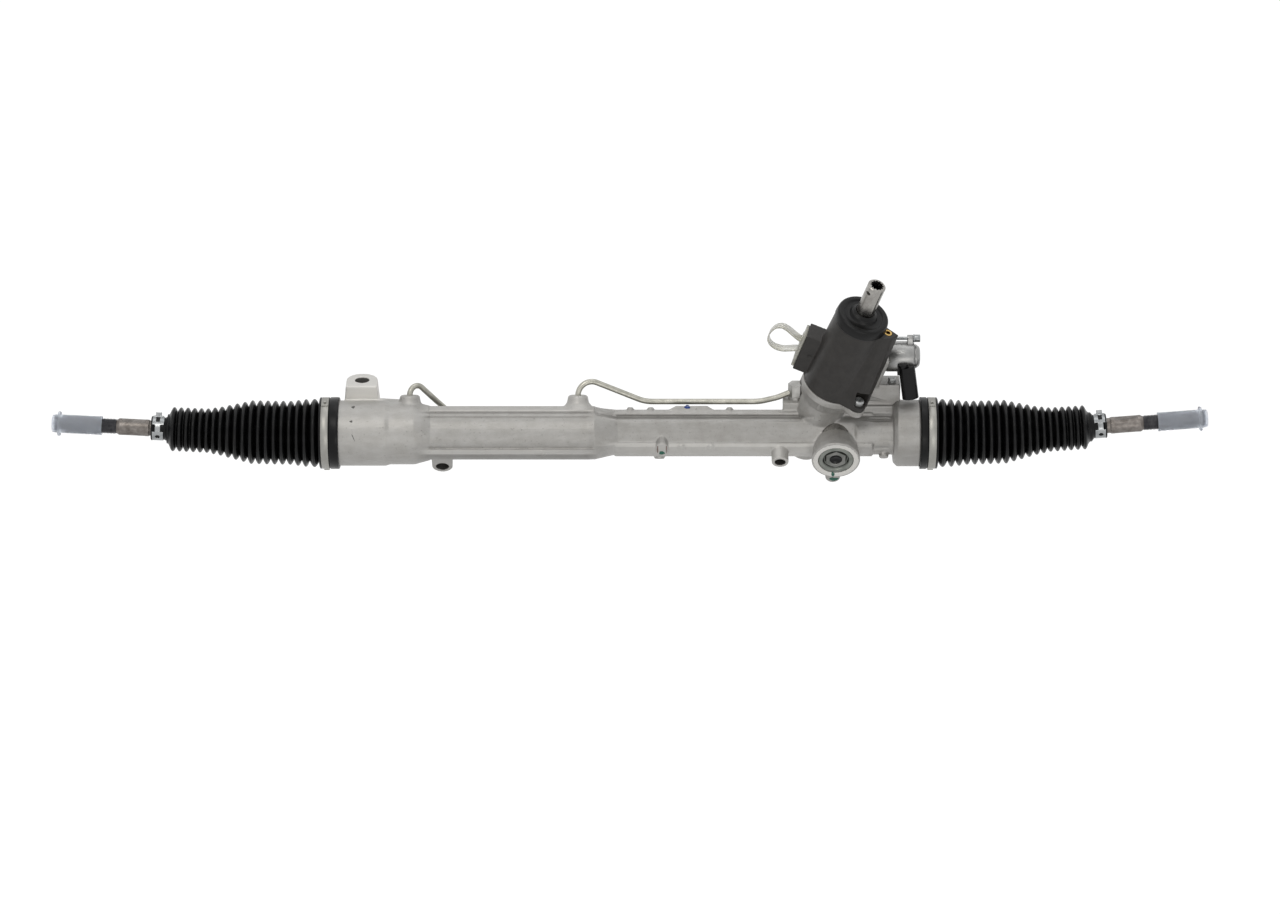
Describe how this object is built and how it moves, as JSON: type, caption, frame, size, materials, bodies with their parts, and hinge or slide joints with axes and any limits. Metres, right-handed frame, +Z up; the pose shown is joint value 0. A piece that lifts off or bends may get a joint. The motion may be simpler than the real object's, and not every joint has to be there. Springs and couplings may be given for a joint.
{
  "type": "steering rack",
  "caption": "Hydraulic power steering rack: tubular cast housing with valve tower, transfer pipes, rubber bellows and two tie rods with capped threads.",
  "frame": {"origin": "centre of the upper face of the mounting eye", "axes": "+X along the rack to the right, +Y to the rear, +Z up along the mounting eye's bore"},
  "size_m": [1.2132, 0.1258, 0.2435],
  "materials": {
    "cast_aluminium": "cast, shot blasted",
    "cover_plastic": "moulded, fine grain",
    "inner_plastic": "moulded",
    "white_plastic": "moulded, slightly translucent",
    "cap_plastic": "translucent",
    "acetal": "moulded",
    "rubber": "moulded",
    "seal_rubber": "moulded",
    "ptfe": "machined",
    "brass": "machined",
    "bronze": "sintered",
    "contact_metal": "tinned",
    "zinc_steel": "zinc plated",
    "stainless": "bright strip",
    "machined_steel": "turned and ground",
    "machined_aluminium": "machined",
    "pipe_steel": "olive passivated",
    "forged_steel": "forged and oiled"
  },
  "bodies": {
    "housing": {"rack_housing": "cast_aluminium", "valve_cover": "cover_plastic", "connector_pins": "contact_metal", "cover_screws": "zinc_steel", "cover_insert": "brass", "cover_top_seal": "seal_rubber", "shaft_bearing": "bronze", "sensor_stator": "inner_plastic", "solenoid_body": "stainless", "solenoid_cap": "stainless", "solenoid_screw": "zinc_steel", "solenoid_connector": "cover_plastic", "bracket_bolt": "zinc_steel", "pinion_ball_bearing": "machined_steel", "pinion_needle_bearing": "machined_steel", "pinion_bottom_cap": "machined_aluminium", "shaft_seal": "seal_rubber", "cylinder_bulkhead": "machined_aluminium", "bulkhead_seals": "seal_rubber", "bulkhead_ring": "machined_aluminium", "inner_rod_seal": "seal_rubber", "rack_bushing": "bronze", "yoke": "machined_aluminium", "yoke_liner": "ptfe", "yoke_o_ring": "seal_rubber", "yoke_spring": "machined_steel", "yoke_plug": "machined_aluminium", "transfer_pipe_long": "pipe_steel", "transfer_pipe_short": "pipe_steel", "pipe_nuts": "zinc_steel", "pipe_fitting": "pipe_steel", "left_boot": "rubber", "right_boot": "rubber", "left_boot_band": "stainless", "right_boot_band": "stainless"},
    "rack": {"rack_bar": "machined_steel", "piston": "machined_steel", "piston_ring": "ptfe", "left_socket": "machined_steel", "right_socket": "machined_steel", "left_lock_washer": "machined_steel", "right_lock_washer": "machined_steel"},
    "pinion": {"pinion": "machined_steel", "valve_sleeve": "machined_steel", "sleeve_rings": "ptfe", "sleeve_pin": "machined_steel", "torsion_bar": "machined_steel", "pinion_nut": "machined_steel"},
    "input_shaft": {"input_shaft": "machined_steel", "torsion_pin": "machined_steel", "sensor_rotor": "machined_steel"},
    "left_seat": {"left_ball_seat": "acetal"},
    "right_seat": {"right_ball_seat": "acetal"},
    "left_rod": {"left_tie_rod": "forged_steel", "left_boot_clamp": "zinc_steel"},
    "right_rod": {"right_tie_rod": "forged_steel", "right_boot_clamp": "zinc_steel"},
    "left_cap": {"left_thread_cap": "cap_plastic"},
    "right_cap": {"right_thread_cap": "cap_plastic"},
    "plug_cap": {"connector_cap": "white_plastic"}
  },
  "joints": [
    {"name": "rack_slide", "type": "slide", "parent": "housing", "child": "rack", "axis": [1, 0, 0], "range_m": [-0.072, 0.072], "deforming": ["left_boot", "right_boot"]},
    {"name": "pinion_spin", "type": "hinge", "parent": "housing", "child": "pinion", "pos_m": [0.4758, -0.01583, -0.04091], "axis": [0.284, -0.3436, 0.8951], "range_deg": [-520.6, 520.6]},
    {"name": "valve_twist", "type": "hinge", "parent": "pinion", "child": "input_shaft", "pos_m": [0.4758, -0.01583, -0.04091], "axis": [0.284, -0.3436, 0.8951], "range_deg": [-4, 4], "stiffness_Nm_per_rad": 90, "deforming": ["torsion_bar"]},
    {"name": "left_swing", "type": "hinge", "parent": "rack", "child": "left_seat", "pos_m": [-0.1152, -0.0317, -0.047], "axis": [0, 0, 1], "range_deg": [-18, 18], "deforming": ["left_boot"]},
    {"name": "left_lift", "type": "hinge", "parent": "left_seat", "child": "left_rod", "pos_m": [-0.1152, -0.0317, -0.047], "axis": [0, 1, 0], "range_deg": [-21.1, 14.9], "deforming": ["left_boot"]},
    {"name": "right_swing", "type": "hinge", "parent": "rack", "child": "right_seat", "pos_m": [0.6788, -0.0317, -0.047], "axis": [0, 0, 1], "range_deg": [-18, 18], "deforming": ["right_boot"]},
    {"name": "right_lift", "type": "hinge", "parent": "right_seat", "child": "right_rod", "pos_m": [0.6788, -0.0317, -0.047], "axis": [0, 1, 0], "range_deg": [-13.3, 22.7], "deforming": ["right_boot"]},
    {"name": "left_cap_pull", "type": "slide", "parent": "left_rod", "child": "left_cap", "axis": [-0.9985, 0, 0.0541], "range_m": [0, 0.06]},
    {"name": "right_cap_pull", "type": "slide", "parent": "right_rod", "child": "right_cap", "axis": [0.9966, 0, 0.0819], "range_m": [0, 0.06]},
    {"name": "connector_cap_pull", "type": "slide", "parent": "housing", "child": "plug_cap", "axis": [-0.9303, 0.1271, 0.344], "range_m": [0, 0.03]}
  ],
  "couplings": [
    {"joint": "pinion_spin", "follows": "rack_slide", "rad_per_m": 126.16}
  ]
}
